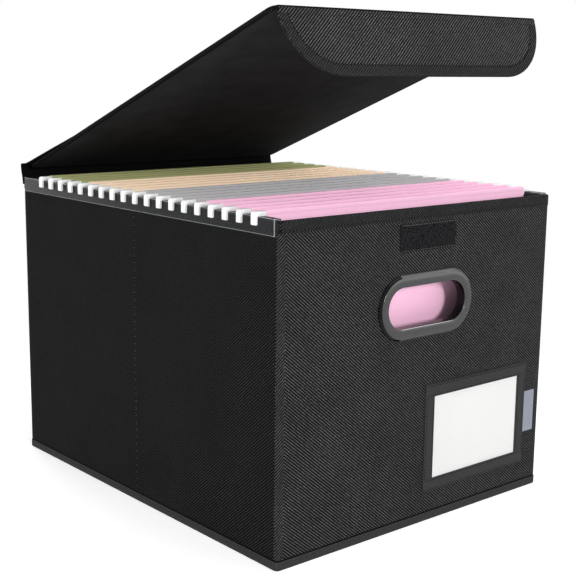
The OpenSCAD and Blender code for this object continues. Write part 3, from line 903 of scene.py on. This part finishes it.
def hingeShape(bm):
    # as wide as the box at the hinge, narrowing to the lid's edges; seam shade on the inside
    for v in bm.verts:
        reach = (v.co - hingePoint).dot(lidForward) / mm - hinge["narrowFrom"]
        if reach > 0:
            v.co.x *= 1 - hinge["narrow"] * min(reach / hinge["narrowOver"], 1)
    bm.normal_update()
    for face in bm.faces:
        over = face.calc_center_median().z > hinge["lidCloth"] * mm
        if face.normal.y < -0.3 or (face.normal.dot(lidUp) < 0.2 and over):
            face.material_index = 1
        elif over:
            face.material_index = 2


hingeLine = hinge["wall"] + [rollAt(a) for a in hinge["angles"]] + [lidAt(*p) for p in hinge["lid"]]
clothStrip("hingeCloth", smoothLine(hingeLine, 4), hinge["width"], hinge["thick"],
           [cloth["hinge"], seamShade, cloth["lid"]],
           hingeShape, stands=["hinge_strip"])
print("hinge and fold cloth made")

tones = ["pink"] * 5 + ["grey"] * 5 + ["peach"] * 5 + ["olive"] * 4
hook = {"from": 149.7, "spread": 1.12, "fuller": 0.06, "round": 0.5}


def hangingFolder(number, tone):
    dress(f"folder_{number:02d}", papers[tone])
    bm = fromNode(f"hangers_{number:02d}")
    roundOff(bm, sharpEdges(bm), hook["round"], 3)
    middle = sum(v.co.y for v in bm.verts) / len(bm.verts)
    for v in bm.verts:  # the moulded hooks are stouter than the flat rods
        if abs(v.co.x) > hook["from"] * mm:
            off = v.co.y - middle
            v.co.y = middle + off * hook["spread"] + math.copysign(hook["fuller"] * mm, off)
    keep(bm, f"rods_{number:02d}", [hookWhite], f"folder_{number:02d}", [f"hangers_{number:02d}"])


for number, tone in enumerate(tones, 1):
    hangingFolder(number, tone)
print("folders made")

# the floor glows by "glow" for camera rays and fades to white between two distances, in metres
studio = {"floor": 14, "sky": 0.43, "glow": 0.27, "fadeFrom": 0.30, "fadeTo": 0.62, "grain": 3,
          "floorDark": (0.92, 0.92, 0.92, 1), "floorLight": (0.94, 0.94, 0.94, 1)}
white = (1, 1, 1, 1)


def rayMask(f):  # camera, mirror and glass rays see the white background
    camera, mirror, glass = (f.add("ShaderNodeLightPath", out=name)
                             for name in ("Is Camera Ray", "Is Glossy Ray", "Is Transmission Ray"))
    return camera.most(mirror).most(glass)


floorPaper = Finish("floorPaper", {"Roughness": 0.9, "Specular IOR Level": 0.0})
floorMask, floorPlace = rayMask(floorPaper), floorPaper.place()
floorPaper.feed("Base Color", floorPaper.blend(floorPaper.noise(floorPlace, studio["grain"]),
                                               studio["floorDark"], studio["floorLight"]))
distance = floorPaper.add("ShaderNodeVectorMath", {"operation": "LENGTH"}, {0: floorPlace}, out="Value")
glow = floorPaper.add("ShaderNodeEmission", {}, {"Color": white, "Strength": floorMask * studio["glow"]})
lit = floorPaper.add("ShaderNodeAddShader", {}, {0: Wire(floorPaper, floorPaper.shader.outputs[0]), 1: glow})
blank = floorPaper.add("ShaderNodeEmission", {}, {"Color": white, "Strength": 1.0})
faded = floorPaper.add("ShaderNodeMixShader", {},
                       {0: distance.step(studio["fadeFrom"], studio["fadeTo"]) * floorMask,
                        1: lit, 2: blank})
floorPaper.tree.links.new(faded.socket, floorPaper.tree.nodes["Material Output"].inputs["Surface"])
bm = bmesh.new()
bmesh.ops.create_grid(bm, x_segments=8, y_segments=8, size=studio["floor"] / 2)
mesh = bpy.data.meshes.new("studioFloor")
bm.to_mesh(mesh)
bm.free()
mesh.materials.append(floorPaper.material)
floor = bpy.data.objects.new("studioFloor", mesh)
scene.collection.objects.link(floor)

scene.world = bpy.data.worlds.new("studioWorld")
scene.world.use_nodes = True
sky = Nodes(scene.world.node_tree)
sky.tree.nodes.clear()
soft = sky.add("ShaderNodeBackground", {}, {"Color": white, "Strength": studio["sky"]})
plain = sky.add("ShaderNodeBackground", {}, {"Color": white, "Strength": 1.0})
mixed = sky.add("ShaderNodeMixShader", {}, {0: rayMask(sky), 1: soft, 2: plain})
sky.add("ShaderNodeOutputWorld", {}, {"Surface": mixed})

# azimuth, elevation, distance, size, and share of the light on a white card that faces the lamp
lamps = {"keyLamp": (-10, 15, 2.6, 0.5, 0.52), "leftLamp": (-84, 22, 2.4, 0.8, 0.52),
         "rightLamp": (74, 44, 2.4, 0.7, 0.26), "backLamp": (165, 30, 2.6, 1.2, 0.32),
         "topLamp": (20, 78, 2.4, 1.6, 0.18), "sideLamp": (44, 8, 1.9, 0.9, 0.08)}


def softBox(name, azimuth, elevation, far, size, share):
    lamp = bpy.data.lights.new(name, "AREA")
    lamp.shape, lamp.size = "SQUARE", size
    lamp.energy = share * math.pi ** 2 * far ** 2
    holder = bpy.data.objects.new(name, lamp)
    back = lookBack(azimuth, elevation)
    holder.location = Vector((0, 0, 0.15)) + back * far
    holder.rotation_mode = "QUATERNION"
    holder.rotation_quaternion = (-back).to_track_quat("-Z", "Y")
    scene.collection.objects.link(holder)


for name, settings in lamps.items():
    softBox(name, *settings)

scene.view_settings.view_transform = "Standard"
print("scene ready")
